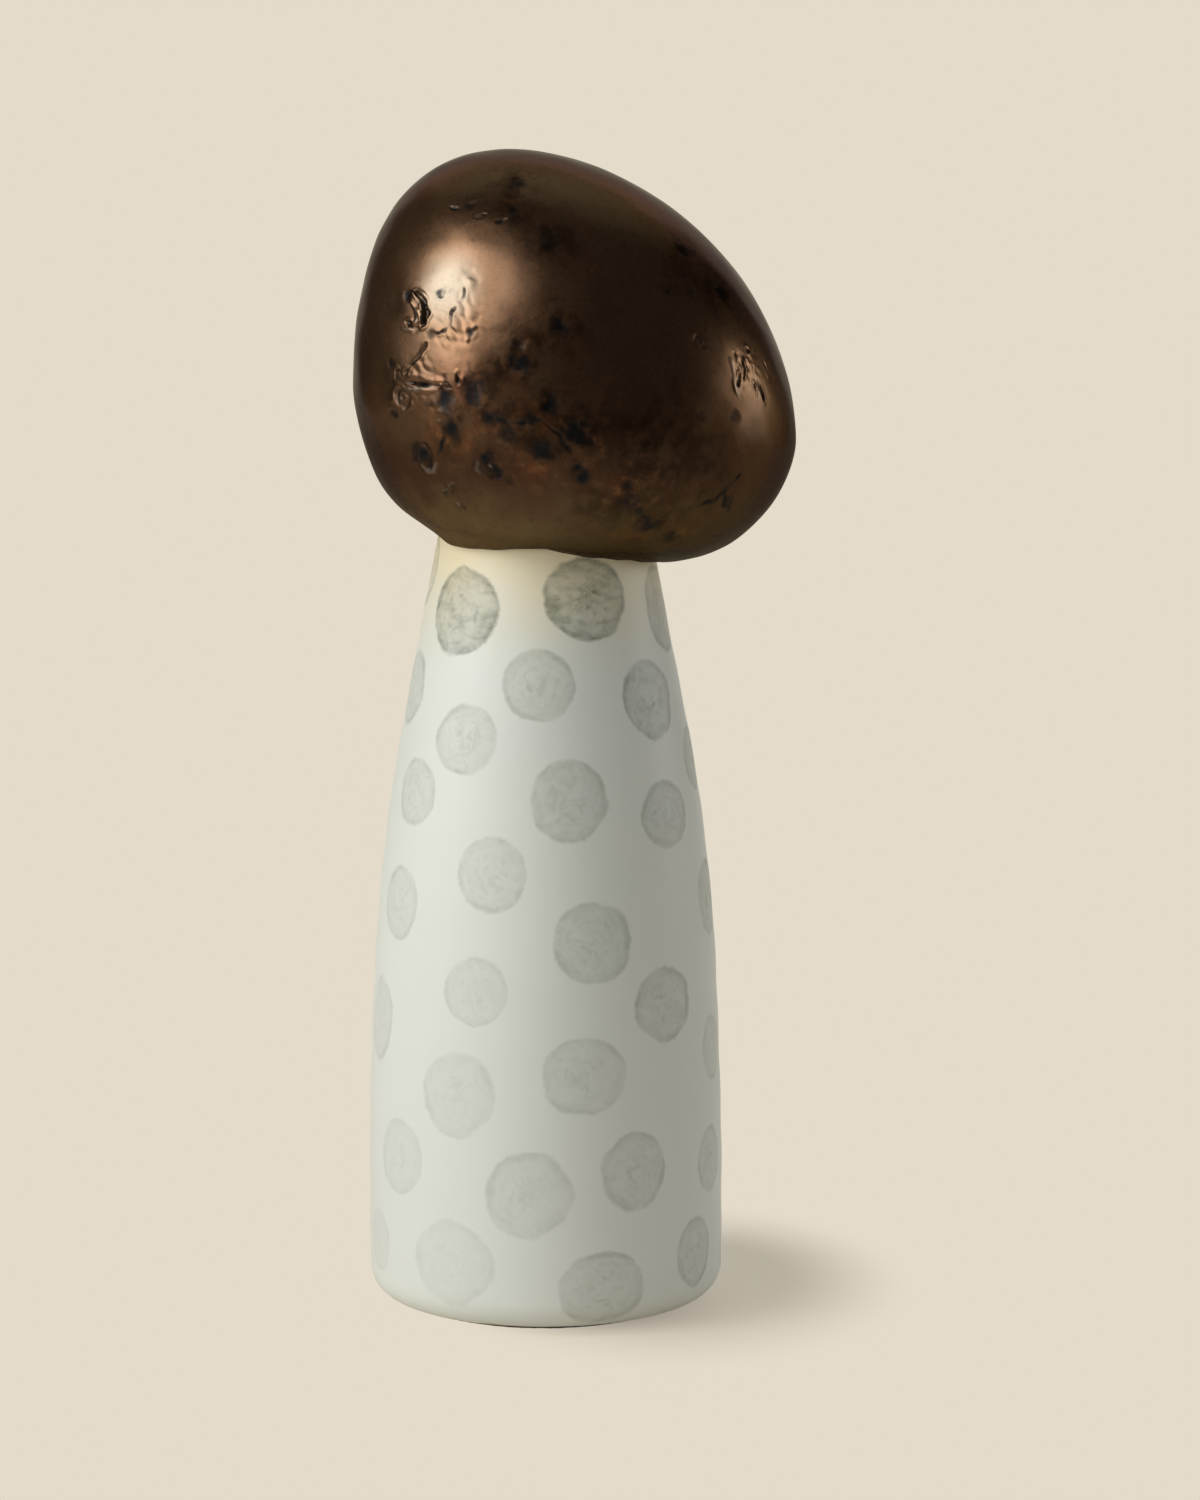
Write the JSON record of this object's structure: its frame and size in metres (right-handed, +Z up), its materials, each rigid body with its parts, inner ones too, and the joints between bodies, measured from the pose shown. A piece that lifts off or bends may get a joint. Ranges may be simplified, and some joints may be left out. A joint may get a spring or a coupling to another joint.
{
  "type": "ceramic mushroom ornament",
  "caption": "Free-standing mushroom ornament: tapered white stoneware stem with brushed grey dots, and a lopsided bronze-glazed cap that turns and lifts off.",
  "frame": {"origin": "on the stem's axis, at the surface that the ornament stands on", "axes": "+Z up along the stem, +X towards the cap's overhanging side, -Y towards the viewer of the picture"},
  "size_m": [0.1063, 0.103, 0.2803],
  "materials": {
    "stem_glaze": "satin white glaze with translucent grey-green brushed dots",
    "cap_glaze": "glossy metallic bronze glaze over pressed plant sprigs",
    "cork": "sanded agglomerated cork",
    "felt": "pressed wool felt"
  },
  "bodies": {
    "stem_body": {"stem": "stem_glaze", "base_felt": "felt"},
    "seat": {"seat_ring": "cork"},
    "cap_body": {"cap": "cap_glaze"}
  },
  "joints": [
    {"name": "cap_turn", "type": "hinge", "parent": "stem_body", "child": "seat", "pos_m": [0, 0, 0.205], "axis": [0, 0, 1], "continuous": true},
    {"name": "cap_lift", "type": "slide", "parent": "seat", "child": "cap_body", "axis": [0, 0, 1], "range_m": [0, 0.06]}
  ]
}
